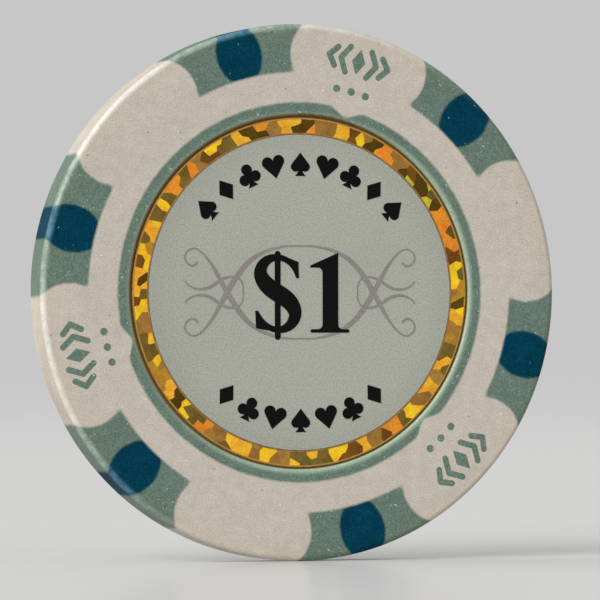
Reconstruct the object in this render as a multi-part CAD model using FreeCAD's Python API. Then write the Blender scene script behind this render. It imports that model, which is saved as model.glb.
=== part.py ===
import FreeCAD, Part
import math
import os

# A three-tone moulded poker chip lying on its back face, in millimetres.
# +Z is the chip's axis and leaves through the front face. +Y is up for the front label's numeral.
# A steel slug sits in a sage moulding, a cream moulding is shot round that, blue plugs go through
# the rim, and each face has a round recess that holds a foil label.

# Driving dimensions of the moulded body
chip_diameter = 39.0
chip_thickness = 3.3
edge_radius = 0.4
slug_diameter = 26.0
slug_thickness = 1.5
flange_diameter = 37.4
flange_thickness = 1.5

# Sage ring round each label. Its outline dips towards the label beside each ornament.
ring_diameter = 27.6
dip_depth = 0.6
dip_half_angle = 6.0
dip_slope_angle = 2.6

# Label recess and the rounded shoulder between it and the ring
recess_diameter = 25.6
recess_depth = 0.3
shoulder_radius = 0.25

# Sage edge blocks: an inner arc, and sides that the cream bulges into
block_count = 6
first_block_angle = 45.2
block_inner_radius = 16.0
block_half_angle = 18.0
bulge_radius = 2.82
bulge_centre_radius = 17.5
bulge_centre_angle = 22.0

# Blue plugs: a barrel outline, the overlap of two round cuts, trimmed by the block's inner arc
plug_cut_radius = 2.86
plug_centre_radius = 17.85
plug_cut_offset = 1.15

# Inlaid ornament between the blocks: a lozenge with two chevrons each side, over a row of dots
ornament_count = 3
ornament_radius = 17.35
ornament_stroke = 0.44
lozenge_half_width = 0.52
lozenge_half_height = 0.95
chevron_apexes = (1.38, 2.3)
chevron_half_heights = (0.95, 0.7)
chevron_depth = 0.55
dot_diameter = 0.56
dot_radius = 15.1
dot_pitch_angle = 4.3

# Label layers, from the recess floor outwards
label_diameter = 25.4
adhesive_margin = 0.1
adhesive_thickness = 0.05
foil_thickness = 0.1
dial_diameter = 22.9
dial_thickness = 0.03
grey_ink_thickness = 0.02
black_ink_thickness = 0.03

# Printed card suits along two arcs of the dial
pip_height = 1.7
pip_circle_radius = 9.3
pip_pitch_angle = 12.4
top_pip_count = 9
bottom_pip_count = 7

# Shares of a pip's height
diamond_half_width = 0.37
heart_lobe = 0.25
heart_lobe_rise = 0.22
spade_blade = 0.84
club_leaf = 0.235
club_spread = 1.1
stalk_foot = 0.24
stalk_waist = 0.075
stalk_neck = 0.05

# Printed value: a currency sign left of the middle and a figure right of it
value_top = 2.88
value_foot = -2.93
currency_centre = -1.74
currency_bar_width = 0.44
currency_bar_top = 3.0
currency_bar_foot = -3.45
stem_left = 1.68
stem_right = 2.87
foot_left = 0.76
foot_right = 3.72
foot_thickness = 0.25
bracket_size = 0.36
flag_tip_x = 0.75
flag_tip_top = 1.95
flag_tip_foot = 1.8

# Worked out from the above
outer_radius = chip_diameter / 2
middle = chip_thickness / 2
overreach = 1.0
strip_samples = 5
Z_AXIS = FreeCAD.Vector(0, 0, 1)
ORIGIN = FreeCAD.Vector(0, 0, 0)


def spot(x, y, z=0.0):
    return FreeCAD.Vector(x, y, z)


def polar(radius, degrees):
    turn = math.radians(degrees)
    return spot(radius * math.cos(turn), radius * math.sin(turn))


def disc(radius, low, high, centre=ORIGIN):
    return Part.makeCylinder(radius, high - low, centre + spot(0, 0, low), Z_AXIS)


def prism(edges, low, high):
    """A flat outline of edges in the XY plane, drawn up from one height to another."""
    face = Part.Face(Part.Wire(edges))
    face.translate(spot(0, 0, low))
    return face.extrude(spot(0, 0, high - low))


def line(start, end):
    return Part.LineSegment(start, end).toShape()


def arc(start, through, end):
    return Part.Arc(start, through, end).toShape()


def polygon(points):
    closed = points + [points[0]]
    return [line(first, second) for first, second in zip(closed, closed[1:])]


def turned(shape, degrees):
    return shape.rotated(ORIGIN, Z_AXIS, degrees)


def all_round(shape, count, first_angle):
    return [turned(shape, first_angle + index * 360 / count) for index in range(count)]


def joined(shapes):
    return shapes[0].multiFuse(shapes[1:]).removeSplitter() if len(shapes) > 1 else shapes[0]


def chip_envelope():
    """The whole chip's outer shape, a disc with rounded rim edges."""
    blank = disc(outer_radius, 0, chip_thickness)
    rims = [edge for edge in blank.Edges if isinstance(edge.Curve, Part.Circle)]
    return blank.makeFillet(edge_radius, rims)


def steel_slug():
    return disc(slug_diameter / 2, middle - slug_thickness / 2, middle + slug_thickness / 2)


def ring_outline():
    """The ring's outer edge: a circle whose outline dips towards the label at each ornament."""
    radius = ring_diameter / 2
    step = 360 / ornament_count
    edges = []
    for centre_angle in ornament_angles():
        dip = [
            polar(radius, centre_angle - dip_half_angle),
            polar(radius - dip_depth / 2, centre_angle - dip_slope_angle),
            polar(radius - dip_depth, centre_angle),
            polar(radius - dip_depth / 2, centre_angle + dip_slope_angle),
            polar(radius, centre_angle + dip_half_angle),
        ]
        curve = Part.BSplineCurve()
        entry = polar(1, centre_angle - dip_half_angle + 90)
        leave = polar(1, centre_angle + dip_half_angle + 90)
        curve.interpolate(Points=dip, InitialTangent=entry, FinalTangent=leave)
        next_dip = centre_angle + step - dip_half_angle
        edges.append(curve.toShape())
        edges.append(arc(dip[-1], polar(radius, centre_angle + step / 2), polar(radius, next_dip)))
    return edges


def ornament_angles():
    first = first_block_angle + 180 / block_count
    return [first + index * 360 / ornament_count for index in range(ornament_count)]


def edge_block():
    """One sage block on the +X axis, full thickness, before the chip's envelope trims it."""
    reach = outer_radius + overreach
    corners = [
        polar(block_inner_radius, -block_half_angle),
        polar(reach / math.cos(math.radians(block_half_angle)), -block_half_angle),
        polar(reach / math.cos(math.radians(block_half_angle)), block_half_angle),
        polar(block_inner_radius, block_half_angle),
    ]
    inner_arc = arc(corners[3], polar(block_inner_radius, 0), corners[0])
    sides = [line(corners[0], corners[1]), line(corners[1], corners[2]), line(corners[2], corners[3])]
    block = prism(sides + [inner_arc], 0, chip_thickness)
    for side in (-1, 1):
        bulge = polar(bulge_centre_radius, side * bulge_centre_angle)
        block = block.cut(disc(bulge_radius, 0, chip_thickness, bulge))
    return block


def blue_plug(envelope):
    """One blue plug on the +X axis, through the whole thickness and out at the rim."""
    upper = disc(plug_cut_radius, 0, chip_thickness, spot(plug_centre_radius, plug_cut_offset))
    lower = disc(plug_cut_radius, 0, chip_thickness, spot(plug_centre_radius, -plug_cut_offset))
    barrel = upper.common(lower).cut(disc(block_inner_radius, 0, chip_thickness))
    return barrel.common(envelope)


def rounded_stroke(start, end, width, low, high):
    """A straight stroke with round ends."""
    along = (end - start).normalize()
    across = spot(-along.y, along.x) * (width / 2)
    cap = along * (width / 2)
    edges = [
        line(start - across, end - across),
        arc(end - across, end + cap, end + across),
        line(end + across, start + across),
        arc(start + across, start - cap, start - across),
    ]
    return prism(edges, low, high)


def ornament():
    """The inlay on the +X axis: its own up is outwards, so its sideways runs along Y."""
    def place(sideways, outwards):
        return spot(ornament_radius + outwards, sideways)

    corners = [
        place(lozenge_half_width, 0),
        place(0, lozenge_half_height),
        place(-lozenge_half_width, 0),
        place(0, -lozenge_half_height),
    ]
    pieces = [prism(polygon(corners), 0, chip_thickness)]
    for side in (-1, 1):
        for apex_place, half_height in zip(chevron_apexes, chevron_half_heights):
            apex = place(side * apex_place, 0)
            foot_place = side * (apex_place - chevron_depth)
            feet = (place(foot_place, half_height), place(foot_place, -half_height))
            arms = [rounded_stroke(apex, foot, ornament_stroke, 0, chip_thickness) for foot in feet]
            pieces.append(joined(arms))
    for step in (-1, 0, 1):
        pieces.append(disc(dot_diameter / 2, 0, chip_thickness, polar(dot_radius, step * dot_pitch_angle)))
    return pieces


def label_recess():
    """The round recess in the front face, widening through a rounded shoulder at its mouth."""
    radius = recess_diameter / 2
    floor = chip_thickness - recess_depth
    shoulder_foot = chip_thickness - shoulder_radius
    top = chip_thickness
    swing = shoulder_radius * math.cos(math.pi / 4)
    edges = [
        line(spot(0, 0, floor), spot(radius, 0, floor)),
        line(spot(radius, 0, floor), spot(radius, 0, shoulder_foot)),
        arc(
            spot(radius, 0, shoulder_foot),
            spot(radius + shoulder_radius - swing, 0, shoulder_foot + swing),
            spot(radius + shoulder_radius, 0, top),
        ),
        line(spot(radius + shoulder_radius, 0, top), spot(0, 0, top)),
        line(spot(0, 0, top), spot(0, 0, floor)),
    ]
    return Part.Face(Part.Wire(edges)).revolve(ORIGIN, Z_AXIS, 360)


def to_back(shape):
    """The same shape on the back face, turned over about the chip's upright middle line."""
    return shape.rotated(spot(0, 0, middle), spot(0, 1, 0), 180)


def sage_mass(envelope):
    """All that the sage shot fills, with the slug, the plugs and the recesses still in it."""
    flange_low = middle - flange_thickness / 2
    pieces = [prism(ring_outline(), 0, chip_thickness)]
    pieces.append(disc(flange_diameter / 2, flange_low, flange_low + flange_thickness))
    pieces += all_round(edge_block().common(envelope), block_count, first_block_angle)
    for angle in ornament_angles():
        pieces += [turned(piece, angle) for piece in ornament()]
    return joined(pieces)


def pen_stroke(points, low, high):
    """A stroke that swells and thins. Each point is (x, y, width) on its smooth middle line."""
    middle_line = Part.BSplineCurve()
    middle_line.interpolate([spot(*point) for point in points])
    first, last = middle_line.FirstParameter, middle_line.LastParameter
    count = strip_samples * (len(points) - 1)
    left_side, right_side = [], []
    for index in range(count + 1):
        parameter = first + (last - first) * index / count
        here = middle_line.value(parameter)
        slope = middle_line.tangent(parameter)[0]
        along = spot(slope.x, slope.y).normalize()
        across = spot(-along.y, along.x) * (here.z / 2)
        left_side.append(spot(here.x, here.y) + across)
        right_side.append(spot(here.x, here.y) - across)
    left, right = Part.BSplineCurve(), Part.BSplineCurve()
    left.interpolate(left_side)
    right.interpolate(right_side)
    ends = [line(left_side[-1], right_side[-1]), line(right_side[0], left_side[0])]
    return prism([left.toShape(), ends[0], right.toShape(), ends[1]], low, high)


def currency_sign(low, high):
    """A serif currency sign: a swelled S, a wedge at each of its ends, and an upright bar."""
    middle_line = [
        (1.38, 1.42, 0.24), (0.98, 2.12, 0.42), (0.06, 2.53, 0.45), (-0.92, 2.22, 0.72),
        (-1.3, 1.46, 0.96), (-0.92, 0.64, 1.2), (0.0, -0.06, 1.3), (0.94, -0.74, 1.2),
        (1.32, -1.6, 0.96), (0.94, -2.38, 0.72), (0.0, -2.72, 0.45), (-0.98, -2.32, 0.42),
        (-1.44, -1.62, 0.24),
    ]
    letter = pen_stroke([(currency_centre + x, y, width) for x, y, width in middle_line], low, high)
    top_wedge = [(0.62, 2.58), (1.58, 2.2), (1.62, 1.02), (1.42, 1.02), (0.98, 2.1)]
    foot_wedge = [(-0.62, -2.78), (-1.64, -2.62), (-1.7, -1.34), (-1.48, -1.34), (-0.98, -2.28)]
    parts = [letter]
    for outline in (top_wedge, foot_wedge):
        corners = [spot(currency_centre + x, y) for x, y in outline]
        parts.append(prism(polygon(corners), low, high))
    half_bar = currency_bar_width / 2
    bar_top = spot(currency_centre, currency_bar_top - half_bar)
    bar_foot = spot(currency_centre, currency_bar_foot + half_bar)
    parts.append(rounded_stroke(bar_top, bar_foot, currency_bar_width, low, high))
    return joined(parts)


def figure_one(low, high):
    """A serif figure one: a thick stem, a slanting flag and a bracketed foot."""
    half_foot = foot_thickness / 2
    foot_middle = value_foot + half_foot
    foot_top = value_foot + foot_thickness
    stem = [
        spot(stem_left, foot_middle),
        spot(stem_right, foot_middle),
        spot(stem_right, value_top),
        spot(flag_tip_x, flag_tip_top),
        spot(flag_tip_x, flag_tip_foot),
        spot(stem_left, flag_tip_foot),
    ]
    foot_start = spot(foot_left + half_foot, foot_middle)
    foot_end = spot(foot_right - half_foot, foot_middle)
    parts = [
        prism(polygon(stem), low, high),
        rounded_stroke(foot_start, foot_end, foot_thickness, low, high),
        bracket(spot(stem_left, foot_top), -1, 1, low, high),
        bracket(spot(stem_right, foot_top), 1, 1, low, high),
        bracket(spot(stem_left, flag_tip_foot), -1, -1, low, high),
    ]
    return joined(parts)


def bracket(corner, sideways, upwards, low, high):
    """The hollow quarter-round that eases a serif into its stem, from their shared corner."""
    swing = bracket_size * (1 - math.cos(math.pi / 4))
    along_serif = corner + spot(sideways * bracket_size, 0)
    along_stem = corner + spot(0, upwards * bracket_size)
    hollow = corner + spot(sideways * swing, upwards * swing)
    edges = [line(corner, along_serif), arc(along_serif, hollow, along_stem), line(along_stem, corner)]
    return prism(edges, low, high)


def scrollwork(low, high):
    """A flourish of pen strokes: one quarter, then its mirror images."""
    long_swash = [
        (0.0, -3.35, 0.1), (1.9, -3.2, 0.18), (3.8, -2.3, 0.34), (5.2, -0.6, 0.4),
        (6.3, 1.3, 0.28), (7.3, 2.7, 0.14), (8.2, 3.15, 0.12), (8.75, 2.55, 0.13),
        (8.35, 1.95, 0.15), (7.8, 2.2, 0.16),
    ]
    short_swash = [
        (4.35, 0.0, 0.1), (4.9, 1.1, 0.14), (5.9, 0.95, 0.2), (6.9, 0.35, 0.22),
        (7.9, 0.25, 0.16), (8.75, 0.8, 0.1),
    ]
    quarter = [pen_stroke(long_swash, low, high), pen_stroke(short_swash, low, high)]
    half = quarter + [stroke.mirror(ORIGIN, spot(1, 0, 0)) for stroke in quarter]
    whole = half + [stroke.mirror(ORIGIN, spot(0, 1, 0)) for stroke in half]
    return joined(whole)


def diamond_pip(low, high):
    side = pip_height * diamond_half_width
    tip = pip_height / 2
    return prism(polygon([spot(side, 0), spot(0, tip), spot(-side, 0), spot(0, -tip)]), low, high)


def heart_outline(height, pointing):
    """Two round lobes and a point, about the outline's middle. Pointing is -1 down or 1 up."""
    lobe = height * heart_lobe
    rise = height * heart_lobe_rise
    reach = lobe * math.cos(math.pi / 4)
    tip = spot(0, pointing * height / 2)
    cleft = spot(0, -pointing * rise)
    right = spot(lobe + reach, -pointing * (rise - reach))
    left = spot(-lobe - reach, -pointing * (rise - reach))
    right_crown = spot(lobe, -pointing * (rise + lobe))
    left_crown = spot(-lobe, -pointing * (rise + lobe))
    return [line(tip, right), arc(right, right_crown, cleft), arc(cleft, left_crown, left), line(left, tip)]


def heart_pip(low, high):
    return prism(heart_outline(pip_height, -1), low, high)


def pip_stalk(low, high):
    """The flared stalk of a spade or a club, from the pip's middle down to its foot."""
    base = -pip_height / 2
    foot, waist, neck = (pip_height * share for share in (stalk_foot, stalk_waist, stalk_neck))
    edges = [
        line(spot(-foot, base), spot(foot, base)),
        arc(spot(foot, base), spot(waist, base / 2), spot(neck, 0)),
        line(spot(neck, 0), spot(-neck, 0)),
        arc(spot(-neck, 0), spot(-waist, base / 2), spot(-foot, base)),
    ]
    return prism(edges, low, high)


def spade_pip(low, high):
    blade = prism(heart_outline(pip_height * spade_blade, 1), low, high)
    lift = pip_height * (1 - spade_blade) / 2
    return joined([blade.translated(spot(0, lift)), pip_stalk(low, high)])


def club_pip(low, high):
    leaf = pip_height * club_leaf
    side = leaf * club_spread
    places = [spot(0, pip_height / 2 - leaf), spot(side, -leaf / 2), spot(-side, -leaf / 2)]
    leaves = [disc(leaf, low, high, place) for place in places]
    return joined(leaves + [disc(leaf / 2, low, high), pip_stalk(low, high)])


def suit_pips(low, high):
    """Card suits along an arc over the value and another under it, each its own solid."""
    suits = [spade_pip(low, high), heart_pip(low, high), club_pip(low, high), diamond_pip(low, high)]
    pips = []
    for count, side in ((top_pip_count, 1), (bottom_pip_count, -1)):
        for index in range(count):
            from_middle = index - (count - 1) // 2
            pip = suits[abs(from_middle) % len(suits)].translated(spot(0, side * pip_circle_radius))
            pips.append(turned(pip, -side * from_middle * pip_pitch_angle))
    return Part.makeCompound(pips)


def label_layers():
    """The front label's layers by name, stacked face to face on the recess floor."""
    floor = chip_thickness - recess_depth
    foil_low = floor + adhesive_thickness
    dial_low = foil_low + foil_thickness
    ink_low = dial_low + dial_thickness
    grey_top = ink_low + grey_ink_thickness
    black_top = ink_low + black_ink_thickness
    value = Part.makeCompound([currency_sign(ink_low, black_top), figure_one(ink_low, black_top)])
    scroll = scrollwork(ink_low, grey_top).cut(value)
    return {
        "label_adhesive": disc(label_diameter / 2 - adhesive_margin, floor, foil_low),
        "label_foil": disc(label_diameter / 2, foil_low, dial_low),
        "label_dial": disc(dial_diameter / 2, dial_low, ink_low),
        "label_scroll": scroll,
        "label_pips": suit_pips(ink_low, black_top),
        "label_value": value,
    }


def chip_parts():
    """Every sub-part by its node's name."""
    envelope = chip_envelope()
    slug = steel_slug()
    plugs = all_round(blue_plug(envelope), block_count, first_block_angle)
    mass = sage_mass(envelope)
    recess = label_recess()
    parts = {"steel_slug": slug}
    parts["sage_core"] = mass.cut([slug, recess, to_back(recess)] + plugs)
    parts["cream_jacket"] = envelope.cut([mass] + plugs)
    for index, plug in enumerate(plugs):
        parts["blue_plug_%d" % (index + 1)] = plug
    for name, layer in label_layers().items():
        parts["front_" + name] = layer
        parts["back_" + name] = to_back(layer)
    return parts


os.makedirs("parts", exist_ok=True)
for node, shape in chip_parts().items():
    shape.exportStep("parts/%s.step" % node)
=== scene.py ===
import math
import random

import bmesh
import bpy
from mathutils import Matrix, Vector


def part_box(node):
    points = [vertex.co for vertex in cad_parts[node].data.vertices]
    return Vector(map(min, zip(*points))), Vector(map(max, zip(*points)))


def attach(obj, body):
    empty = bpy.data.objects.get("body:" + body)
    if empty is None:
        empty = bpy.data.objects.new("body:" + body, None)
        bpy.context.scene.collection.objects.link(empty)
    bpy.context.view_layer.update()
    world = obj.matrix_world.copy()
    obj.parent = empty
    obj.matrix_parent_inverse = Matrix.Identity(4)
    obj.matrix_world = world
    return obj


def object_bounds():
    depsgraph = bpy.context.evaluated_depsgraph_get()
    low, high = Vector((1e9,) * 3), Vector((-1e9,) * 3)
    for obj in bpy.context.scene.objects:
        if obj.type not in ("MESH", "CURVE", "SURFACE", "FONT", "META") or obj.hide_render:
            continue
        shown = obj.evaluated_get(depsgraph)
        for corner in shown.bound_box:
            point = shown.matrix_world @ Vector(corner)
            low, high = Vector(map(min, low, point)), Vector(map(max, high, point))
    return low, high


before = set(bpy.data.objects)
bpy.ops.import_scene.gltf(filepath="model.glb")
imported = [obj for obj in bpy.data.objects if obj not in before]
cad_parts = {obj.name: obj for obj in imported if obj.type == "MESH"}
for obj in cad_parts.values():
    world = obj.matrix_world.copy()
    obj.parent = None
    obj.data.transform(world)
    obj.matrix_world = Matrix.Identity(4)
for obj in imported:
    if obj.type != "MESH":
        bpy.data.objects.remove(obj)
CAD_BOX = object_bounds()

bl_info = {
    "name": "Poker Chip Finisher",
    "version": (1, 0, 0),
    "blender": (4, 5, 0),
    "location": "3D View > Sidebar > Poker Chip",
    "description": "Gives a moulded three-tone poker chip its composite, foil and printed finishes",
    "category": "Object",
}

# The chip lies on its back face. +Z leaves through the front face, and +Y is up for its label.
MM = 0.001
BODY = "root"
PLUG_COUNT = 6
ORNAMENT_COUNT = 3
PICTURE_WIDTH = 600
SENSOR_WIDTH = 36.0

CHIP_RADIUS = CAD_BOX[1].x
CHIP_TOP = CAD_BOX[1].z
CHIP_MIDDLE = (CAD_BOX[0].z + CAD_BOX[1].z) / 2
FOIL_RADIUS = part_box("front_label_foil")[1].x
FOIL_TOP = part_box("front_label_foil")[1].z
DIAL_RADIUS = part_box("front_label_dial")[1].x
DIAL_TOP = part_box("front_label_dial")[1].z
FACES = ("front", "back")

# The number that scatters the front foil's facets. The back foil's is the next one.
FIRST_SCATTER = 826
# Where the foil shows yellow-green, in shares of the way round its band.
GREEN_STRETCH = (0.855, 0.925)
# The inlaid ornaments lie beyond this radius in mm, and within this angle of their middle.
INLAY_START = 14.5
INLAY_HALF_ANGLE = math.radians(11)
# The floor fades by nearness, NEARNESS_UNIT over the depth below NEARNESS_HEIGHT, both in mm.
NEARNESS_UNIT = 1000.0
NEARNESS_HEIGHT = 400.0
# How high a hairline's shoulders are, as a share of its height, and the steps of its spin.
HAIRLINE_SHOULDER = 0.7
HAIRLINE_STEPS = 240


def linear(part):
    return part / 12.92 if part <= 0.04045 else ((part + 0.055) / 1.055) ** 2.4


def seen(red, green, blue):
    """A colour as a screen shows it, 0 to 255 each, as the linear colour that a shader takes."""
    return tuple(linear(part / 255) for part in (red, green, blue))


def colour_value(name, description, default):
    return bpy.props.FloatVectorProperty(
        name=name, description=description, default=default, subtype="COLOR", min=0, max=1
    )


def length_value(name, description, millimetres):
    return bpy.props.FloatProperty(
        name=name, description=description, default=millimetres * MM, unit="LENGTH", precision=5
    )


def angle_value(name, description, degrees):
    return bpy.props.FloatProperty(
        name=name, description=description, default=math.radians(degrees), unit="ROTATION"
    )


def plain_value(name, description, default):
    return bpy.props.FloatProperty(name=name, description=description, default=default)


class MouldingSettings(bpy.types.PropertyGroup):
    """Colours of the three mouldings, and where their seams run on each face."""

    cream: colour_value("Cream", "Colour of the outer moulding", seen(190, 181, 169))
    sage: colour_value("Sage", "Colour of the ring and the edge blocks", seen(92, 113, 100))
    blue: colour_value("Blue", "Colour of the rim plugs", seen(0, 55, 74))
    pit: colour_value("Pit", "Colour of the pits in the cream", seen(120, 102, 86))
    fleck: colour_value("Fleck", "Colour of the pale flecks in the sage", seen(188, 204, 192))
    # The grime colour is partly dirt and partly painted shade in the crease round the label.
    crease_dirt_and_shade_colour: colour_value("Grime", "Colour of the dirt round the label", seen(120, 86, 28))
    # The rub colour is a painted highlight on the ring's lip where it faces the key lamp, over real
    # polish.
    rub: colour_value("Rub", "Colour of the ring's lip where it is rubbed", seen(208, 232, 200))
    # The wear colours are partly real wear and partly a painted highlight on the rim edges facing
    # the key lamp. The blue one also colours the blue's pale flecks.
    wear_and_highlight: colour_value("Wear", "Colour of the cream's worn edge at the rim", seen(234, 233, 229))
    sage_wear_and_highlight: colour_value("Sage wear", "Colour of the sage's worn edge", seen(228, 245, 230))
    blue_fleck_wear_and_highlight: colour_value("Blue wear", "Colour of the blue's worn edge", seen(150, 206, 226))
    # This angle points to the side toward the key lamp, which places painted highlights and painted
    # shade.
    key_side_angle: angle_value("Handled angle", "Which side of the chip is handled most", 150.0)
    ring_radius: length_value("Ring radius", "Outer radius of the sage ring", 13.8)
    dip_depth: length_value("Dip depth", "How far the ring dips beside an ornament", 0.6)
    dip_half_angle: angle_value("Dip half angle", "Half the angle that a dip takes", 6.0)
    block_radius: length_value("Block radius", "Inner radius of the edge blocks", 16.0)
    block_angle: angle_value("Block angle", "Where the first edge block stands", 45.2)
    block_half_angle: angle_value("Block half angle", "Half the angle that a block takes", 18.0)
    bulge_radius: length_value("Bulge radius", "Radius of the cream bulge beside a block", 2.82)
    bulge_reach: length_value("Bulge reach", "From the chip's middle to a bulge's middle", 17.5)
    bulge_angle: angle_value("Bulge angle", "From a block's middle to a bulge's middle", 22.0)
    plug_radius: length_value("Plug radius", "Radius of the two cuts that bound a plug", 2.86)
    plug_reach: length_value("Plug reach", "From the chip's middle to a plug's middle", 17.85)
    plug_offset: length_value("Plug offset", "From a plug's middle to a cut's middle", 1.15)
    seam_wander: length_value("Seam wander", "How far a seam strays from its line", 0.02)
    seam_blur: length_value("Seam blur", "Half the width over which sage turns to cream", 0.125)
    plug_blur: length_value("Plug blur", "Half the width over which blue turns to sage", 0.14)
    corner_round: length_value("Corner rounding", "Where a corner's seams start to bend", 0.6)


class LabelSettings(bpy.types.PropertyGroup):
    """Colours of the label's layers, and the pattern of its foil."""

    dial: colour_value("Dial", "Colour of the dial's print", seen(163, 164, 154))
    black: colour_value("Black", "Colour of the value and the card suits", seen(14, 13, 13))
    grey: colour_value("Grey", "Colour of the flourish", seen(133, 128, 124))
    # Foil colours: painted reflections. The dark ones stand for facets that reflect little light,
    # the bright ones for painted glints.
    foil_dark: colour_value("Dark foil", "Foil that catches no light", seen(88, 68, 16))
    foil_brown: colour_value("Brown foil", "Foil that catches little light", seen(118, 80, 26))
    foil_olive: colour_value("Olive foil", "Foil that catches little light", seen(122, 102, 43))
    foil_slate: colour_value("Slate foil", "Foil that catches little light", seen(108, 94, 43))
    foil_bronze: colour_value("Bronze foil", "Foil that catches some light", seen(164, 124, 56))
    foil_copper: colour_value("Copper foil", "Foil that catches half the light", seen(190, 144, 46))
    foil_amber: colour_value("Amber foil", "Foil that catches light", seen(246, 186, 48))
    foil_orange: colour_value("Orange foil", "Foil that shows orange", seen(240, 150, 44))
    foil_yellow: colour_value("Yellow foil", "Foil that catches most light", seen(255, 211, 38))
    foil_green: colour_value("Green foil", "Foil that shows yellow-green", seen(206, 206, 44))
    outer_line: colour_value("Outer line", "Colour of the hairline at the edge", seen(190, 146, 66))
    gold_line: colour_value("Gold line", "Colour of the pale hairline inside", seen(156, 120, 66))
    brown_line: colour_value("Brown line", "Colour of the line beside the dial", seen(136, 104, 70))
    facet_size: length_value("Facet size", "Width of one facet of the foil", 0.78)
    patch_size: length_value("Patch size", "Width of a patch of like facets", 0.95)
    facet_gap: length_value("Facet gap", "Width of the line between two facets", 0.006)
    facet_height: length_value("Facet height", "How far the facets stand on the foil", 0.018)
    facet_tilt: angle_value("Facet tilt", "Most that a facet leans", 1.2)
    line_width: length_value("Line width", "Width of a hairline", 0.07)
    margin: length_value("Margin", "Bare foil between the outer line and the label's edge", 0.055)


class StageSettings(bpy.types.PropertyGroup):
    """The floor, the lamps and the camera."""

    floor: colour_value("Floor", "Colour of the floor under the rim", seen(200, 200, 199))
    floor_gap: length_value("Floor gap", "Room between the rim and the floor", 0.02)
    fade_start: length_value("Fade start", "Where the floor starts to fade, behind the chip", 300.0)
    fade_end: length_value("Fade end", "Where only the background shows, behind the chip", 9000.0)
    sky_level: plain_value("Sky level", "Light from all round, and the background's shade", 0.571)
    key_level: plain_value("Key level", "Light of the key lamp on a surface that faces it", 0.765)
    key_angle: angle_value("Key angle", "Angle of the key lamp round the chip's axis", 143.0)
    key_height: angle_value("Key height", "Angle of the key lamp over the face's plane", 32.0)
    key_width: angle_value("Key width", "How broad the key lamp looks from the chip", 42.0)
    edge_level: plain_value("Edge level", "Light of the edge lamp on a surface that faces it", 0.15)
    edge_angle: angle_value("Edge angle", "Angle of the edge lamp round the chip's axis", 168.0)
    edge_height: angle_value("Edge height", "Angle of the edge lamp over the face's plane", 11.0)
    edge_width: angle_value("Edge width", "How broad the edge lamp looks from the chip", 24.0)
    rear_level: plain_value("Rear level", "Light of the rear lamp on a surface that faces it", 0.4)
    rear_angle: angle_value("Rear angle", "Angle of the rear lamp round the chip's axis", 150.0)
    rear_height: angle_value("Rear height", "Angle of the rear lamp over the face's plane", -20.0)
    rear_width: angle_value("Rear width", "How broad the rear lamp looks from the chip", 60.0)
    camera_distance: length_value("Camera distance", "From the front face to the camera", 400.0)
    camera_yaw: angle_value("Camera yaw", "How far the face is turned from the camera", 17.44)
    camera_pitch: angle_value("Camera pitch", "How far the face leans from the camera", 0.62)
    camera_roll: angle_value("Camera roll", "How far the label is turned in the picture", 0.1)
    shift_x: length_value("Aim right", "How far right of the middle the chip stands", 0.07)
    shift_y: length_value("Aim up", "How far over the middle the chip stands", 0.56)
    pixels_per_mm: plain_value("Scale", "Pixels of the picture to a millimetre of the face", 13.774)


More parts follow.
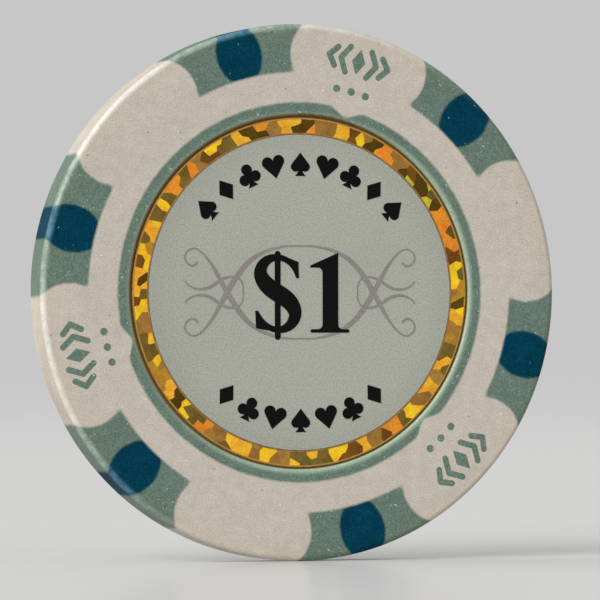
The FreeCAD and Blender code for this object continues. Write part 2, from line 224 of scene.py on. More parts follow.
class Finish:
    """A material and its nodes, with a short call for each kind. Its lengths are in mm."""

    def __init__(self, name):
        self.material = bpy.data.materials.new(name)
        self.material.use_nodes = True
        self.tree = self.material.node_tree
        self.tree.nodes.clear()
        object_place = self.add("ShaderNodeTexCoord").outputs["Object"]
        self.place = self.scaled(object_place, 1 / MM)

    def add(self, kind, values=(), **settings):
        """A node with its settings, then its inputs in order or by name. Sockets are joined."""
        node = self.tree.nodes.new(kind)
        for name, value in settings.items():
            setattr(node, name, value)
        named = values.items() if isinstance(values, dict) else enumerate(values)
        for key, value in named:
            if isinstance(value, bpy.types.NodeSocket):
                self.tree.links.new(value, node.inputs[key])
            else:
                node.inputs[key].default_value = value
        return node

    def maths(self, operation, *values):
        return self.add("ShaderNodeMath", values, operation=operation).outputs[0]

    def product(self, first, *others):
        """Two or more values multiplied with each other."""
        for other in others:
            first = self.maths("MULTIPLY", first, other)
        return first

    def scaled(self, vector, factor):
        node = self.add("ShaderNodeVectorMath", {0: vector, "Scale": factor}, operation="SCALE")
        return node.outputs[0]

    def moved(self, vector, offset):
        return self.add("ShaderNodeVectorMath", [vector, offset], operation="ADD").outputs[0]

    def stretched(self, vector, factors, turn=0.0):
        """The pattern's place, turned about Z and then scaled along each axis."""
        values = {"Vector": vector, "Rotation": (0, 0, turn)}
        return self.weighted(self.add("ShaderNodeMapping", values).outputs[0], factors)

    def weighted(self, vector, factors):
        """A colour or place with each of its three parts multiplied by its own factor."""
        return self.add("ShaderNodeVectorMath", [vector, factors], operation="MULTIPLY").outputs[0]

    def hypotenuse(self, across, up):
        flat = self.add("ShaderNodeCombineXYZ", [across, up, 0.0]).outputs[0]
        return self.add("ShaderNodeVectorMath", [flat], operation="LENGTH").outputs["Value"]

    def noise(self, vector, scale, detail=2.0, roughness=0.5):
        values = {"Vector": vector, "Scale": scale, "Detail": detail, "Roughness": roughness}
        return self.add("ShaderNodeTexNoise", values).outputs[0]

    def ramp(self, value, start, end, low=0.0, high=1.0):
        """A smooth step from low at start to high at end."""
        values = [value, start, end, low, high]
        return self.add("ShaderNodeMapRange", values, interpolation_type="SMOOTHSTEP").outputs[0]

    def spread(self, value, low, high):
        """A noise value, which keeps near one half, spread from low to high."""
        return self.add("ShaderNodeMapRange", [value, 0.25, 0.75, low, high]).outputs[0]

    def speckled(self, colour, scale, strength, tint):
        """Breaks a colour up with fine grain, by strength in its shade and by tint in its hue."""
        values = {"Vector": self.place, "Scale": scale, "Detail": 1.0, "Roughness": 0.6}
        grain = self.add("ShaderNodeTexNoise", values).outputs
        shade = self.spread(grain[0], 1 - strength, 1 + strength)
        low, high = (1 - tint,) * 3, (1 + tint,) * 3
        # Map Range takes the bounds of a vector at its sockets 7 to 10.
        bounds = {"Vector": grain[1], 7: (0.25,) * 3, 8: (0.75,) * 3, 9: low, 10: high}
        hue = self.add("ShaderNodeMapRange", bounds, data_type="FLOAT_VECTOR").outputs["Vector"]
        return self.scaled(self.weighted(hue, colour), shade), grain[0]

    def mixed(self, share, first, second):
        # Mix takes its colours at sockets 6 and 7, and gives them at output 2.
        values = {0: share, 6: first, 7: second}
        return self.add("ShaderNodeMix", values, data_type="RGBA").outputs[2]

    def flecks(self, vector, spacing, radius):
        """Scattered specks of differing size and strength, up to 1 within one."""
        cells = self.add("ShaderNodeTexVoronoi", {"Vector": vector, "Scale": 1 / spacing}).outputs
        speck = self.ramp(cells["Distance"], radius / spacing, radius * 0.45 / spacing)
        strength = self.add("ShaderNodeSeparateColor", [cells["Color"]]).outputs[0]
        return self.product(speck, self.ramp(strength, 0.1, 0.9))

    def surface(self, colour, roughness, relief=None, relief_depth=0.01, **constants):
        """Ends the material in a shader. A constant is named as its socket is, with underscores."""
        values = {"Base Color": colour, "Roughness": roughness}
        for name, value in constants.items():
            values[name.replace("_", " ")] = value
        if relief is not None:
            bump = {"Strength": 1.0, "Distance": relief_depth * MM, "Height": relief}
            values["Normal"] = self.add("ShaderNodeBump", bump).outputs[0]
        shader = self.add("ShaderNodeBsdfPrincipled", values)
        self.add("ShaderNodeOutputMaterial", [shader.outputs[0]])
        return self.material


def opaque(colour):
    return (*colour, 1.0)


def millimetres(settings, *names):
    return [getattr(settings, name) / MM for name in names]


class ChipPlace:
    """Where a point of the chip is: its radius, angle and height, and the gaps to the seams."""

    def __init__(self, finish, moulding):
        self.finish = finish
        self.moulding = moulding
        split = finish.add("ShaderNodeSeparateXYZ", [finish.place]).outputs
        self.radius = finish.hypotenuse(split[0], split[1])
        self.angle = finish.maths("ARCTAN2", split[1], split[0])
        over_middle = finish.maths("SUBTRACT", split[2], CHIP_MIDDLE / MM)
        self.from_middle = finish.maths("ABSOLUTE", over_middle)
        first_ornament = moulding.block_angle + math.pi / PLUG_COUNT
        self.ornament_turn = self.folded(first_ornament, ORNAMENT_COUNT)
        block_turn = self.folded(moulding.block_angle, PLUG_COUNT)
        self.along = finish.product(self.radius, finish.maths("COSINE", block_turn))
        self.across = finish.product(self.radius, finish.maths("SINE", block_turn))

    def folded(self, first, count):
        """The angle from the nearest of count places round the chip, without its sign."""
        half = math.pi / count
        turn = self.finish.maths("SUBTRACT", self.angle, first)
        return self.finish.maths("ABSOLUTE", self.finish.maths("WRAP", turn, half, -half))

    def gap_to(self, along, across):
        """How far the point is from a place beside the nearest edge block."""
        maths = self.finish.maths
        return self.finish.hypotenuse(
            maths("SUBTRACT", self.along, along), maths("SUBTRACT", self.across, across)
        )

    def beyond_ring(self):
        """How far the point is outside the ring, whose outline dips beside each ornament."""
        radius, depth = millimetres(self.moulding, "ring_radius", "dip_depth")
        dip = self.finish.ramp(self.ornament_turn, self.moulding.dip_half_angle, 0.0, 0.0, depth)
        return self.finish.maths("ADD", self.finish.maths("SUBTRACT", self.radius, radius), dip)

    def beyond_block(self):
        """How far the point is outside the nearest edge block."""
        maths = self.finish.maths
        inner, bulge, reach = millimetres(
            self.moulding, "block_radius", "bulge_radius", "bulge_reach"
        )
        turn = self.moulding.bulge_angle
        side = self.moulding.block_half_angle
        from_bulge = self.gap_to(reach * math.cos(turn), reach * math.sin(turn))
        in_bulge = maths("SUBTRACT", bulge, from_bulge)
        past_side = maths(
            "SUBTRACT",
            self.finish.product(self.across, math.cos(side)),
            self.finish.product(self.along, math.sin(side)),
        )
        inside_arc = maths("SUBTRACT", inner, self.radius)
        return self.rounded_maximum(maths("MAXIMUM", in_bulge, past_side), inside_arc)

    def beyond_plug(self):
        """How far the point is outside the nearest plug's barrel, whose inner corners are round."""
        maths = self.finish.maths
        reach, offset, radius = millimetres(
            self.moulding, "plug_reach", "plug_offset", "plug_radius"
        )
        inner, blur = millimetres(self.moulding, "block_radius", "plug_blur")
        outside_barrel = maths("SUBTRACT", self.gap_to(reach, -offset), radius)
        return self.rounded_maximum(outside_barrel, maths("SUBTRACT", inner - blur, self.radius))

    def rounded_maximum(self, first, second):
        """The greater of two gaps, blended where they are close, so that corners come out round."""
        rounding = self.moulding.corner_round / MM
        return self.finish.maths("SMOOTH_MAX", first, second, rounding)


def cream_tone(finish, moulding):
    """Warm off-white with a fine grain, soft clouds, sparse brown pits and a few pale beads."""
    clouds = finish.spread(finish.noise(finish.place, 0.3, 3.0), 0.96, 1.04)
    mottle = finish.spread(finish.noise(finish.place, 1.2, 2.0, 0.65), 0.94, 1.06)
    streak_place = finish.stretched(finish.place, (2.0, 7.0, 5.0), math.radians(35))
    streaks = finish.spread(finish.noise(streak_place, 1.0), 0.975, 1.025)
    shade = finish.product(clouds, streaks, mottle)
    colour, grain = finish.speckled(finish.scaled(moulding.cream, shade), 8.5, 0.14, 0.03)
    pits = finish.flecks(finish.place, 0.88, 0.095)
    beads = finish.flecks(finish.moved(finish.place, (7.0, 3.0, 5.0)), 1.5, 0.1)
    colour = finish.mixed(finish.product(pits, 0.68), colour, opaque(moulding.pit))
    colour = finish.mixed(finish.product(beads, 0.55), colour, (0.9, 0.88, 0.84, 1.0))
    relief = finish.maths("SUBTRACT", finish.spread(grain, 0.0, 0.5), pits)
    relief = finish.maths("ADD", relief, finish.product(beads, 1.5))
    return colour, relief


def sage_tone(finish, moulding):
    """Grey-green, coarser in grain than the cream, with pale flecks and short scratches."""
    clouds = finish.spread(finish.noise(finish.place, 0.45, 3.0), 0.92, 1.08)
    motes = finish.spread(finish.noise(finish.place, 2.6, 2.0), 0.92, 1.08)
    shade = finish.product(clouds, motes)
    colour, grain = finish.speckled(finish.scaled(moulding.sage, shade), 8.0, 0.3, 0.03)
    flecks = finish.flecks(finish.moved(finish.place, (2.0, 9.0, 4.0)), 0.27, 0.055)
    scratch_place = finish.stretched(finish.place, (1.0, 0.28, 1.0), math.radians(-62))
    scratches = finish.flecks(scratch_place, 0.33, 0.05)
    marks = finish.maths("ADD", flecks, scratches)
    patchy = finish.ramp(finish.noise(finish.place, 0.6, 1.0), 0.38, 0.62, 0.15, 1.0)
    colour = finish.mixed(finish.product(marks, patchy), colour, opaque(moulding.fleck))
    relief = finish.spread(grain, 0.0, 0.8)
    return colour, relief


def blue_tone(finish, moulding):
    """Deep petrol blue with soft mottling, fine lighter specks and a few pale ones."""
    clouds = finish.spread(finish.noise(finish.place, 0.8, 3.0), 0.85, 1.2)
    motes = finish.spread(finish.noise(finish.place, 3.2, 2.0), 0.88, 1.14)
    shade = finish.product(clouds, motes)
    colour, grain = finish.speckled(finish.scaled(moulding.blue, shade), 8.5, 0.44, 0.03)
    specks = finish.flecks(finish.moved(finish.place, (5.0, 1.0, 8.0)), 0.42, 0.06)
    colour = finish.scaled(colour, finish.maths("ADD", finish.product(specks, 1.8), 1.0))
    pale_specks = finish.flecks(finish.moved(finish.place, (3.0, 6.0, 2.0)), 0.72, 0.065)
    pale_share = finish.product(pale_specks, 0.6)
    colour = finish.mixed(pale_share, colour, opaque(moulding.blue_fleck_wear_and_highlight))
    relief = finish.spread(grain, 0.0, 0.5)
    return colour, relief


def seam_shares(finish, place, moulding, keeps_ornaments):
    """How far sage shows over cream, and blue over sage. The seams wander and blur a little."""
    wander, blur, plug_blur = millimetres(moulding, "seam_wander", "seam_blur", "plug_blur")
    broad = finish.spread(finish.noise(finish.place, 1.1, 1.0), -wander, wander)
    ragged = finish.spread(finish.noise(finish.place, 5.0, 2.0), -wander, wander)
    stray = finish.maths("ADD", broad, ragged)
    beyond = finish.maths("MINIMUM", place.beyond_ring(), place.beyond_block())
    sage = finish.ramp(finish.maths("ADD", beyond, stray), blur, -blur)
    if keeps_ornaments:
        past_ring = finish.ramp(place.radius, INLAY_START, INLAY_START + 0.01)
        inlay_edge = INLAY_HALF_ANGLE - math.radians(0.1)
        near_ornament = finish.ramp(place.ornament_turn, INLAY_HALF_ANGLE, inlay_edge)
        sage = finish.maths("MAXIMUM", sage, finish.product(past_ring, near_ornament))
    plug_stray = finish.product(stray, 1.6)
    blue = finish.ramp(finish.maths("ADD", place.beyond_plug(), plug_stray), plug_blur, -plug_blur)
    return sage, blue


def composite(name, moulding, gloss, keeps_ornaments=False):
    """The moulded body's finish. Each moulding takes the tone of its place, so seams look cast.
    Painted highlights on the rim and the ring's lip, and painted shade in the crease and on the
    side, are mixed in.
    """
    finish = Finish(name)
    place = ChipPlace(finish, moulding)
    sage, blue = seam_shares(finish, place, moulding, keeps_ornaments)
    cream_colour, cream_relief = cream_tone(finish, moulding)
    sage_colour, sage_relief = sage_tone(finish, moulding)
    blue_colour, blue_relief = blue_tone(finish, moulding)
    inlay_colour = finish.mixed(blue, sage_colour, blue_colour)
    colour = finish.mixed(sage, cream_colour, inlay_colour)
    relief = finish.mixed(sage, cream_relief, finish.mixed(blue, sage_relief, blue_relief))
    # side is one toward the key lamp; it places the painted highlights and painted shade.
    side = side_toward_key(finish, place, moulding)
    rubbed = lip_polish_and_painted_highlight(finish, place, side)
    polished = rim_polish(finish, place)
    patches = finish.ramp(finish.noise(finish.place, 1.4, 4.0), 0.4, 0.6, 0.2, 0.38)
    inlay_wear_and_highlight = finish.maths("SUBTRACT", 1.0, finish.product(sage, 0.28))
    # Painted highlight with real wear: the rim edges facing the key lamp are painted pale, less on
    # the inlays.
    worn = finish.product(polished, side, patches, inlay_wear_and_highlight)
    inlay_wear_and_highlight_tone = finish.mixed(blue, opaque(moulding.sage_wear_and_highlight), opaque(moulding.blue_fleck_wear_and_highlight))
    wear_and_highlight_tone = finish.mixed(sage, opaque(moulding.wear_and_highlight), inlay_wear_and_highlight_tone)
    yellowed = finish.weighted(colour, (1.0, 0.98, 0.92))
    colour = finish.mixed(rim_stain(finish, place), colour, yellowed)
    # Painted shade with grime: the side wall is darkened.
    colour = finish.scaled(colour, side_grime_and_shade(finish, place))
    colour = finish.mixed(worn, colour, wear_and_highlight_tone)
    # Painted highlight on the ring's lip.
    colour = finish.mixed(finish.product(rubbed, 0.37), colour, opaque(moulding.rub))
    # Dirt and painted shade in the crease round the label.
    colour = finish.mixed(crease_dirt_and_painted_shade(finish, place, side), colour, opaque(moulding.crease_dirt_and_shade_colour))
    roughness = finish.spread(finish.noise(finish.place, 3.0, 2.0), 0.5, 0.6)
    roughness = finish.maths("SUBTRACT", roughness, finish.product(rubbed, 0.3))
    roughness = finish.maths("SUBTRACT", roughness, finish.product(polished, 0.28))
    relief = finish.maths("SUBTRACT", relief, rim_fall(finish, place))
    return finish.surface(colour, roughness, relief, 0.02, Specular_IOR_Level=gloss)


def side_toward_key(finish, place, moulding):
    """One on the side of the chip toward the key lamp, and nothing across from it. It places
    painted highlights and painted shade.
    """
    turn = finish.maths("COSINE", finish.maths("SUBTRACT", place.angle, moulding.key_side_angle))
    return finish.ramp(turn, -0.4, 0.5)


def crease_dirt_and_painted_shade(finish, place, side):
    """Dirt and painted shade on the recess floor round the label and up its wall, reaching highest
    on the side toward the key lamp, where that wall is shaded.
    """
    wall = FOIL_RADIUS / MM + 0.1
    radius = finish.maths("SUBTRACT", place.radius, finish.product(side, 0.13))
    return finish.ramp(radius, wall + 0.08, wall + 0.01, 0.0, 0.92)


def lip_polish_and_painted_highlight(finish, place, side):
    """Where the ring's lip round the label is polished and painted with a pale highlight, weakest
    on the side toward the key lamp, where the lip faces away from it. It fades outwards and under
    the crease's dirt and painted shade.
    """
    lip = FOIL_RADIUS / MM + 0.18
    rise = finish.ramp(place.radius, lip - 0.08, lip - 0.02)
    fall = finish.ramp(place.radius, lip + 0.56, lip + 0.1)
    away_from_key = finish.maths("SUBTRACT", 1.0, finish.product(side, 0.75))
    return finish.product(rise, away_from_key, fall, fall)


def side_grime_and_shade(finish, place):
    """How much of its brightness the chip's side keeps: darkened unevenly along it, partly as grime
    and partly as painted shade on the brightly lit side wall.
    """
    rim = CHIP_RADIUS / MM
    on_side = finish.ramp(place.radius, rim - 0.1, rim - 0.02)
    dull = finish.spread(finish.noise(finish.place, 0.5, 3.0), 0.8, 0.92)
    change = finish.product(on_side, finish.maths("SUBTRACT", dull, 1.0))
    return finish.maths("ADD", 1.0, change)


def rim_stain(finish, place):
    """Yellowing towards the rim."""
    rim = CHIP_RADIUS / MM
    patches = finish.ramp(finish.noise(finish.place, 0.7, 2.0), 0.3, 0.7, 0.5, 1.0)
    return finish.product(finish.ramp(place.radius, rim - 1.7, rim - 0.5), patches)


def rim_fall(finish, place):
    """The faces fall away very slightly before the rounded rim."""
    rim = CHIP_RADIUS / MM
    return finish.ramp(place.radius, rim - 1.6, rim - 0.3, 0.0, 1.4)


def rim_polish(finish, place):
    """Where handling has polished the rounded rim edges. The same mask places the painted rim
    highlight.
    """
    rim = CHIP_RADIUS / MM
    half = (CHIP_TOP - CHIP_MIDDLE) / MM
    outward = finish.ramp(place.radius, rim - 0.55, rim - 0.2)
    upright = finish.ramp(place.from_middle, half - 0.5, half - 0.15)
    return finish.product(outward, upright)


def stamped_steel():
    """Bright steel with rolling lines along X and faint stains."""
    finish = Finish("stamped_steel")
    lines = finish.noise(finish.stretched(finish.place, (0.4, 12.0, 12.0)), 1.0, 3.0)
    stains = finish.noise(finish.place, 0.25, 4.0)
    line_shade = finish.spread(lines, 0.85, 1.1)
    shade = finish.product(line_shade, finish.spread(stains, 0.8, 1.05))
    colour = finish.scaled((0.56, 0.56, 0.57), shade)
    roughness = finish.spread(lines, 0.28, 0.45)
    return finish.surface(colour, roughness, lines, 0.004, Metallic=1.0)


def dried_adhesive():
    """A yellowed film with tiny bubbles."""
    finish = Finish("dried_adhesive")
    clouds = finish.noise(finish.place, 0.9, 3.0)
    bubbles = finish.flecks(finish.place, 0.5, 0.09)
    colour = finish.scaled((0.42, 0.33, 0.17), finish.spread(clouds, 0.8, 1.15))
    colour = finish.mixed(bubbles, colour, (0.62, 0.54, 0.36, 1.0))
    return finish.surface(colour, finish.spread(clouds, 0.25, 0.4), bubbles, 0.01)


def plain_foil(label):
    """The bare foil, which shows between the facets and at the label's cut edge."""
    finish = Finish("plain_foil")
    crinkle = finish.noise(finish.place, 3.5, 3.0)
    colour = finish.scaled(label.foil_bronze, finish.spread(crinkle, 0.75, 1.35))
    return finish.surface(colour, finish.spread(crinkle, 0.25, 0.4), crinkle, 0.01, Metallic=0.6)


def prismatic_foil():
    """The faceted foil. Each facet's own tint comes with the mesh as a painted reflection, bright
    or dark, and the foil mottles it.
    """
    finish = Finish("prismatic_foil")
    tint = finish.add("ShaderNodeAttribute", attribute_name="tint").outputs["Color"]
    blush = finish.noise(finish.moved(finish.place, (3.0, 8.0, 1.0)), 1.3, 2.0)
    warm = finish.weighted(tint, (0.98, 0.81, 1.0))
    colour = finish.mixed(finish.ramp(blush, 0.42, 0.64), tint, warm)
    mottle = finish.spread(finish.noise(finish.place, 3.0, 2.0, 0.6), 0.86, 1.14)
    colour, grain = finish.speckled(finish.scaled(colour, mottle), 8.0, 0.07, 0.03)
    roughness = finish.spread(grain, 0.27, 0.35)
    return finish.surface(colour, roughness, Metallic=0.45, Specular_IOR_Level=0.12)


def hairline_metal(name, colour):
    """A thin metallic line, rubbed here and there."""
    finish = Finish(name)
    rub = finish.noise(finish.place, 2.2, 4.0)
    shaded = finish.scaled(colour, finish.spread(rub, 0.72, 1.25))
    return finish.surface(shaded, finish.spread(rub, 0.25, 0.45), rub, 0.004, Metallic=0.5)


def dial_print(label):
    """Frosted pale film with a fine two-tone grain and a few dark specks."""
    finish = Finish("dial_print")
    tint = finish.noise(finish.moved(finish.place, (4.0, 4.0, 4.0)), 2.2, 2.0)
    clouds = finish.noise(finish.place, 0.12, 2.0)
    split = finish.add("ShaderNodeSeparateXYZ", [finish.place]).outputs
    edge = DIAL_RADIUS / MM
    border = finish.ramp(finish.hypotenuse(split[0], split[1]), edge - 2.2, edge, 1.0, 0.92)
    shade = finish.product(border, finish.spread(clouds, 0.97, 1.03))
    colour, grain = finish.speckled(finish.scaled(label.dial, shade), 8.5, 0.18, 0.05)
    greenish = finish.weighted(colour, (0.97, 1.0, 0.95))
    colour = finish.mixed(finish.ramp(tint, 0.35, 0.65), colour, greenish)
    specks = finish.flecks(finish.moved(finish.place, (1.0, 6.0, 2.0)), 1.9, 0.05)
    colour = finish.mixed(finish.product(specks, 0.7), colour, (0.08, 0.08, 0.07, 1.0))
    roughness = finish.spread(grain, 0.5, 0.64)
    return finish.surface(colour, roughness, grain, 0.006, Specular_IOR_Level=0.25)


def ink(name, colour, contrast, gloss):
    """Screen ink: slightly uneven in depth, with a faint mesh grain."""
    finish = Finish(name)
    clouds = finish.noise(finish.place, 0.7, 2.0)
    shaded = finish.scaled(colour, finish.spread(clouds, 0.94, 1.06))
    speckled, grain = finish.speckled(shaded, 7.5, contrast, 0.02)
    roughness = finish.spread(grain, 0.4, 0.55)
    return finish.surface(speckled, roughness, grain, 0.005, Specular_IOR_Level=gloss)


def give(node, material):
    """Puts one material on all of a CAD node."""
    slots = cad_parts[node].data.materials
    slots.clear()
    slots.append(material)


def finished_piece(name, mesh, material):
    """Makes a piece of the object from a bmesh, which lies in the part's own frame."""
    data = bpy.data.meshes.new(name)
    mesh.to_mesh(data)
    mesh.free()
    data.materials.append(material)
    piece = bpy.data.objects.new(name, data)
    bpy.context.scene.collection.objects.link(piece)
    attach(piece, BODY)


def turned_over(mesh):
    """Moves a piece of the front face to the same place on the back face."""
    half_turn = Matrix.Rotation(math.pi, 3, "Y")
    bmesh.ops.rotate(mesh, verts=mesh.verts[:], cent=(0, 0, CHIP_MIDDLE), matrix=half_turn)


class Strip:
    """The foil's band cut open and laid flat: x runs round it and closes on itself, y outwards."""

    def __init__(self, inner, outer):
        self.inner = inner
        self.width = outer - inner
        self.middle = (inner + outer) / 2
        self.length = 2 * math.pi * self.middle

    def short_way(self, start, end):
        """From one place to another, the short way round."""
        along = (end.x - start.x + self.length / 2) % self.length - self.length / 2
        return Vector((along, end.y - start.y, 0))

    def scattered(self, draw, spacing, rows, looseness):
        """Places in rows along the strip, each moved at random by up to looseness of a step."""
        count = round(self.length / spacing)
        step, rise = self.length / count, self.width / rows
        places = []
        for row in range(rows):
            for column in range(count):
                along = (column + 0.5 * (row % 2) + looseness * draw.uniform(-1, 1)) * step
                across = (row + 0.5 + looseness * draw.uniform(-1, 1)) * rise
                places.append(Vector((along % self.length, across, 0)))
        return places

    def bent(self, mesh):
        """Bends the flat strip round the chip's axis."""
        for vert in mesh.verts:
            radius = self.inner + vert.co.y
            turn = -vert.co.x / self.middle
            vert.co.x = radius * math.cos(turn)
            vert.co.y = radius * math.sin(turn)


def patch_tints(draw, count, label):
    """For each patch its tint, its odd facets' tint, their share, and the spread of its shades.

    Dark and bright patches mostly take turns, as painted reflections. The lower half of the label
    is painted as catching a little more light, so its dark patches are paler.
    """
    darkest = [
        label.foil_dark, label.foil_dark, label.foil_bronze, label.foil_brown,
        label.foil_brown, label.foil_olive, label.foil_slate, label.foil_bronze,
    ]
    paler = [
        label.foil_dark, label.foil_brown, label.foil_olive, label.foil_olive,
        label.foil_olive, label.foil_bronze, label.foil_bronze, label.foil_bronze,
    ]
    bright = [
        label.foil_yellow, label.foil_yellow, label.foil_copper, label.foil_amber,
        label.foil_amber, label.foil_orange,
    ]
    tints = []
    is_bright = False
    for index in range(count):
        is_bright = is_bright != (draw.random() < 0.8)
        dark_tint = draw.choice(paler if index < count / 2 else darkest)
        bright_tint = draw.choice(bright)
        if GREEN_STRETCH[0] < index / count < GREEN_STRETCH[1]:
            bright_tint = label.foil_green
        if is_bright:
            tints.append((bright_tint, dark_tint, 0.2, 0.06))
        else:
            tints.append((dark_tint, bright_tint, 0.08, 0.16))
    return tints


def facet_outline(strip, seed, others, reach, gap):
    """A flat cell of the strip, cut from a square along its weighted borders with the others."""
    cell = bmesh.new()
    bmesh.ops.create_grid(cell, x_segments=1, y_segments=1, size=reach)
    bmesh.ops.translate(cell, verts=cell.verts[:], vec=seed)
    cuts = [
        (Vector((0, 0, 0)), Vector((0, -1, 0))),
        (Vector((0, strip.width, 0)), Vector((0, 1, 0))),
    ]
    for other, weight in others:
        towards = strip.short_way(seed, other)
        if 0 < towards.length < 2 * reach:
            outwards = towards.normalized()
            share = 0.5 - weight / towards.length_squared
            cuts.append((seed + towards * share - outwards * gap / 2, outwards))
    for place, outwards in cuts:
        geometry = cell.verts[:] + cell.edges[:] + cell.faces[:]
        bmesh.ops.bisect_plane(
            cell, geom=geometry, dist=1e-8, plane_co=place, plane_no=outwards, clear_outer=True
        )
    return cell


def raised_facet(cell, seed, height, lean):
    """Gives a flat cell its thickness and tilts its top about its seed."""
    raised = bmesh.ops.extrude_face_region(cell, geom=cell.faces[:])["geom"]
    for vert in raised:
        if isinstance(vert, bmesh.types.BMVert):
            offset = vert.co - seed
            vert.co.z = height + offset.x * lean[0] + offset.y * lean[1]
    bmesh.ops.recalc_face_normals(cell, faces=cell.faces[:])


def foil_facets(label, seed_number):
    """The cracked-ice band of the foil as a mesh of small leaning facets, tinted patch by patch
    with painted reflections.
    """
    draw = random.Random(seed_number)
    strip = Strip(DIAL_RADIUS + 2 * label.line_width, FOIL_RADIUS - label.margin - label.line_width)
    patches = strip.scattered(draw, label.patch_size, 1, 0.4)
    tints = patch_tints(draw, len(patches), label)
    seeds = strip.scattered(draw, label.facet_size, 2, 0.48)
    pulls = [draw.uniform(-0.1, 0.1) * label.facet_size ** 2 for _ in seeds]
    band = bmesh.new()
    shades = []
    for seed, pull in zip(seeds, pulls):
        others = [(other, (other_pull - pull) / 2) for other, other_pull in zip(seeds, pulls)]
        cell = facet_outline(strip, seed, others, 3 * label.facet_size, label.facet_gap)
        patch_gaps = [strip.short_way(seed, patch).length for patch in patches]
        nearest = patch_gaps.index(min(patch_gaps))
        lean = [draw.uniform(-1, 1) * label.facet_tilt for _ in range(2)]
        raised_facet(cell, seed, label.facet_height, lean)
        own, odd, odd_share, difference = tints[nearest]
        tint = odd if draw.random() < odd_share else own
        shade = draw.uniform(1 - difference, 1 + difference)
        shades += [[part * shade for part in tint]] * len(cell.faces)
        part = bpy.data.meshes.new("facet")
        cell.to_mesh(part)
        cell.free()
        band.from_mesh(part)
        bpy.data.meshes.remove(part)
    strip.bent(band)
    bmesh.ops.translate(band, verts=band.verts[:], vec=(0, 0, FOIL_TOP))
    layer = band.loops.layers.float_color.new("tint")
    for face, shade in zip(band.faces, shades):
        for corner in face.loops:
            corner[layer] = opaque(shade)
    return band


def hairline(inner, outer, height):
    """A fine raised line round the label, its low arched outline spun full circle."""
    ring = bmesh.new()
    middle = (inner + outer) / 2
    shoulder = FOIL_TOP + height * HAIRLINE_SHOULDER
    outline = [
        (inner, FOIL_TOP), (outer, FOIL_TOP), (outer, shoulder),
        (middle, FOIL_TOP + height), (inner, shoulder),
    ]
    verts = [ring.verts.new((radius, 0, level)) for radius, level in outline]
    edges = [ring.edges.new((verts[index - 1], vert)) for index, vert in enumerate(verts)]
    bmesh.ops.spin(
        ring, geom=verts + edges, cent=(0, 0, 0), axis=(0, 0, 1),
        angle=2 * math.pi, steps=HAIRLINE_STEPS, use_merge=True,
    )
    bmesh.ops.recalc_face_normals(ring, faces=ring.faces[:])
    return ring


class CHIP_OT_mouldings(bpy.types.Operator):
    """Give the cream, sage and blue mouldings their composite finish"""

    bl_idname = "chip.mouldings"
    bl_label = "Finish the Mouldings"

    def execute(self, context):
        moulding = context.scene.chip_moulding
        give("cream_jacket", composite("cream_composite", moulding, 0.3))
        give("sage_core", composite("sage_composite", moulding, 0.5, keeps_ornaments=True))
        blue = composite("blue_composite", moulding, 0.04)
        for index in range(PLUG_COUNT):
            give("blue_plug_%d" % (index + 1), blue)
        return {"FINISHED"}


class CHIP_OT_slug(bpy.types.Operator):
    """Give the steel slug its stamped finish"""

    bl_idname = "chip.slug"
    bl_label = "Finish the Slug"

    def execute(self, context):
        give("steel_slug", stamped_steel())
        return {"FINISHED"}


class CHIP_OT_label_backing(bpy.types.Operator):
    """Finish the adhesive and the bare foil of both labels"""

    bl_idname = "chip.label_backing"
    bl_label = "Finish the Label Backing"

    def execute(self, context):
        adhesive = dried_adhesive()
        foil = plain_foil(context.scene.chip_label)
        for face in FACES:
            give(face + "_label_adhesive", adhesive)
            give(face + "_label_foil", foil)
        return {"FINISHED"}


class CHIP_OT_foil_facets(bpy.types.Operator):
    """Build the prismatic band of facets on each label's foil"""

    bl_idname = "chip.foil_facets"
    bl_label = "Build the Foil Facets"

    def execute(self, context):
        material = prismatic_foil()
        for seed_number, face in enumerate(FACES, start=FIRST_SCATTER):
            band = foil_facets(context.scene.chip_label, seed_number)
            if face == "back":
                turned_over(band)
            finished_piece(face + "_foil_facets", band, material)
        return {"FINISHED"}


class CHIP_OT_hairlines(bpy.types.Operator):
    """Build the fine metallic lines that bound each foil band"""

    bl_idname = "chip.hairlines"
    bl_label = "Build the Hairlines"

    def execute(self, context):
        label = context.scene.chip_label
        width = label.line_width
        height = DIAL_TOP - FOIL_TOP
        bright = hairline_metal("outer_line", label.outer_line)
        gold = hairline_metal("gold_line", label.gold_line)
        brown = hairline_metal("brown_line", label.brown_line)
        lines = [
            ("outer_gold_line", FOIL_RADIUS - label.margin - width, bright),
            ("inner_gold_line", DIAL_RADIUS + width, gold),
            ("inner_brown_line", DIAL_RADIUS, brown),
        ]
        for face in FACES:
            for name, inner, material in lines:
                ring = hairline(inner, inner + width, height)
                if face == "back":
                    turned_over(ring)
                finished_piece(face + "_" + name, ring, material)
        return {"FINISHED"}


class CHIP_OT_print(bpy.types.Operator):
    """Finish the dial, the flourish, the card suits and the value of both labels"""

    bl_idname = "chip.label_print"
    bl_label = "Finish the Print"

    def execute(self, context):
        label = context.scene.chip_label
        dial = dial_print(label)
        black = ink("black_ink", label.black, 0.4, 0.06)
        grey = ink("grey_ink", label.grey, 0.18, 0.2)
        for face in FACES:
            give(face + "_label_dial", dial)
            give(face + "_label_pips", black)
            give(face + "_label_value", black)
            give(face + "_label_scroll", grey)
        return {"FINISHED"}


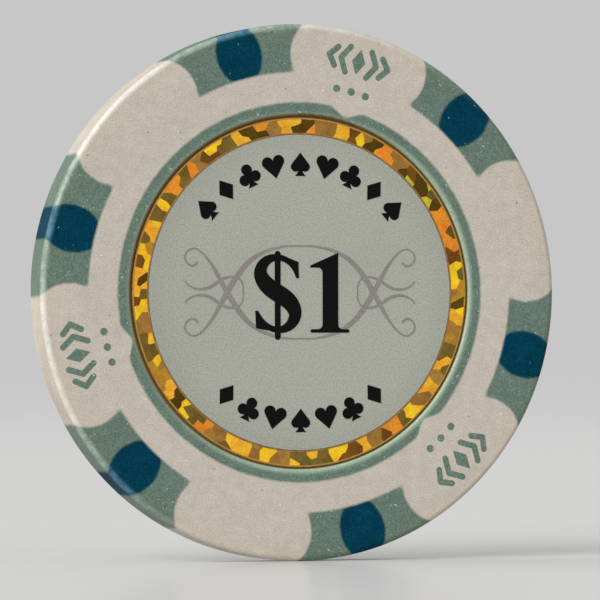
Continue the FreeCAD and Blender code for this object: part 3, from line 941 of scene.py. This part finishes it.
def floor_finish(stage):
    """Pale paper with a soft sheen at low angles.

    It fades into the background far behind the chip, and from below the chip shows through it.
    """
    finish = Finish("floor_paper")
    start, end = millimetres(stage, "fade_start", "fade_end")
    fibres = finish.noise(finish.place, 0.8, 5.0, 0.6)
    colour = finish.scaled(stage.floor, finish.spread(fibres, 0.99, 1.01))
    matte = finish.add("ShaderNodeBsdfDiffuse", [colour]).outputs[0]
    gloss = {"Color": (1.0, 1.0, 1.0, 1.0), "Roughness": 0.15}
    sheen = finish.add("ShaderNodeBsdfAnisotropic", gloss).outputs[0]
    low_angle = finish.add("ShaderNodeLayerWeight", {"Blend": 0.5}).outputs["Facing"]
    sheen_share = finish.ramp(low_angle, 0.45, 0.88, 0.03, 0.26)
    paper = finish.add("ShaderNodeMixShader", [sheen_share, matte, sheen])
    clear = finish.add("ShaderNodeBsdfTransparent")
    depth = finish.add("ShaderNodeSeparateXYZ", [finish.place]).outputs[2]
    past_height = finish.maths("SUBTRACT", depth, NEARNESS_HEIGHT)
    nearness = finish.maths("DIVIDE", -NEARNESS_UNIT, past_height)
    first, last = (NEARNESS_UNIT / (behind + NEARNESS_HEIGHT) for behind in (start, end))
    faded = finish.ramp(nearness, first, last)
    below = finish.add("ShaderNodeNewGeometry").outputs["Backfacing"]
    clear_share = finish.maths("MAXIMUM", faded, below)
    mix = finish.add("ShaderNodeMixShader", [clear_share, paper.outputs[0], clear.outputs[0]])
    finish.add("ShaderNodeOutputMaterial", [mix.outputs[0]])
    return finish.material


class CHIP_OT_stage(bpy.types.Operator):
    """Set up the floor, the light and the camera"""

    bl_idname = "chip.stage"
    bl_label = "Set the Stage"

    def execute(self, context):
        stage = context.scene.chip_stage
        self.lay_floor(context, stage)
        self.light_sky(context, stage)
        self.hang_lamp(context, stage, "key")
        self.hang_lamp(context, stage, "edge").visible_glossy = False
        self.hang_lamp(context, stage, "rear").visible_glossy = False
        self.aim_camera(context, stage)
        context.scene.view_settings.view_transform = "Standard"
        return {"FINISHED"}

    def lay_floor(self, context, stage):
        """Lays the floor under the chip's rim, so that the chip stands as in the picture."""
        plane = bmesh.new()
        bmesh.ops.create_grid(plane, x_segments=1, y_segments=1, size=2 * stage.fade_end)
        upright = Matrix.Rotation(-math.pi / 2, 3, "X")
        bmesh.ops.rotate(plane, verts=plane.verts[:], cent=(0, 0, 0), matrix=upright)
        under_rim = (0, CAD_BOX[0].y - stage.floor_gap, 0)
        bmesh.ops.translate(plane, verts=plane.verts[:], vec=under_rim)
        data = bpy.data.meshes.new("floor")
        plane.to_mesh(data)
        plane.free()
        data.materials.append(floor_finish(stage))
        floor = bpy.data.objects.new("floor", data)
        context.scene.collection.objects.link(floor)
        floor.visible_shadow = False
        floor.visible_diffuse = False

    def light_sky(self, context, stage):
        world = bpy.data.worlds.new("studio")
        world.use_nodes = True
        background = world.node_tree.nodes["Background"]
        background.inputs["Color"].default_value = (1.0, 1.0, 1.0, 1.0)
        background.inputs["Strength"].default_value = stage.sky_level
        context.scene.world = world

    def hang_lamp(self, context, stage, name):
        """Hangs a broad far lamp, which gives its level of light on a surface that faces it."""
        level, angle, height, width = (
            getattr(stage, name + part) for part in ("_level", "_angle", "_height", "_width")
        )
        data = bpy.data.lights.new(name + "_lamp", "SUN")
        data.energy = level * math.pi
        data.angle = width
        lamp = bpy.data.objects.new(name + "_lamp", data)
        flat = math.cos(height)
        towards = Vector((flat * math.cos(angle), flat * math.sin(angle), math.sin(height)))
        lamp.rotation_euler = towards.to_track_quat("Z", "Y").to_euler()
        context.scene.collection.objects.link(lamp)
        return lamp

    def aim_camera(self, context, stage):
        """Stands the camera off the front face, at the angle of the picture."""
        data = bpy.data.cameras.new("camera")
        data.sensor_width = SENSOR_WIDTH
        pixels = stage.pixels_per_mm * stage.camera_distance / MM
        data.lens = pixels / PICTURE_WIDTH * SENSOR_WIDTH
        data.clip_start, data.clip_end = 0.01, 10.0
        camera = bpy.data.objects.new("camera", data)
        view = (
            Matrix.Rotation(-stage.camera_pitch, 3, "X")
            @ Matrix.Rotation(stage.camera_yaw, 3, "Y")
            @ Matrix.Rotation(stage.camera_roll, 3, "Z")
        )
        turn = view.transposed()
        stand = turn @ Vector((-stage.shift_x, -stage.shift_y, stage.camera_distance))
        place = Vector((0, 0, CHIP_TOP)) + stand
        camera.matrix_world = Matrix.Translation(place) @ turn.to_4x4()
        context.scene.collection.objects.link(camera)
        context.scene.camera = camera


class CHIP_PT_panel(bpy.types.Panel):
    """Lists the chip's steps and their settings"""

    bl_idname = "CHIP_PT_panel"
    bl_label = "Poker Chip"
    bl_space_type = "VIEW_3D"
    bl_region_type = "UI"
    bl_category = "Poker Chip"

    def draw(self, context):
        for settings, steps in STEPS.items():
            box = self.layout.box()
            group = getattr(context.scene, settings)
            for name in group.__annotations__:
                box.prop(group, name)
            for step in steps:
                box.operator(step.bl_idname)


STEPS = {
    "chip_moulding": [CHIP_OT_mouldings, CHIP_OT_slug],
    "chip_label": [CHIP_OT_label_backing, CHIP_OT_foil_facets, CHIP_OT_hairlines, CHIP_OT_print],
    "chip_stage": [CHIP_OT_stage],
}
GROUPS = {
    "chip_moulding": MouldingSettings,
    "chip_label": LabelSettings,
    "chip_stage": StageSettings,
}
CLASSES = [*GROUPS.values(), *[step for steps in STEPS.values() for step in steps], CHIP_PT_panel]


def register():
    for each in CLASSES:
        bpy.utils.register_class(each)
    for name, group in GROUPS.items():
        setattr(bpy.types.Scene, name, bpy.props.PointerProperty(type=group))


def unregister():
    for name in GROUPS:
        delattr(bpy.types.Scene, name)
    for each in reversed(CLASSES):
        bpy.utils.unregister_class(each)


def main():
    register()
    bpy.ops.chip.mouldings()
    bpy.ops.chip.slug()
    bpy.ops.chip.label_backing()
    bpy.ops.chip.foil_facets()
    bpy.ops.chip.hairlines()
    bpy.ops.chip.label_print()
    bpy.ops.chip.stage()


if __name__ == "__main__":
    main()
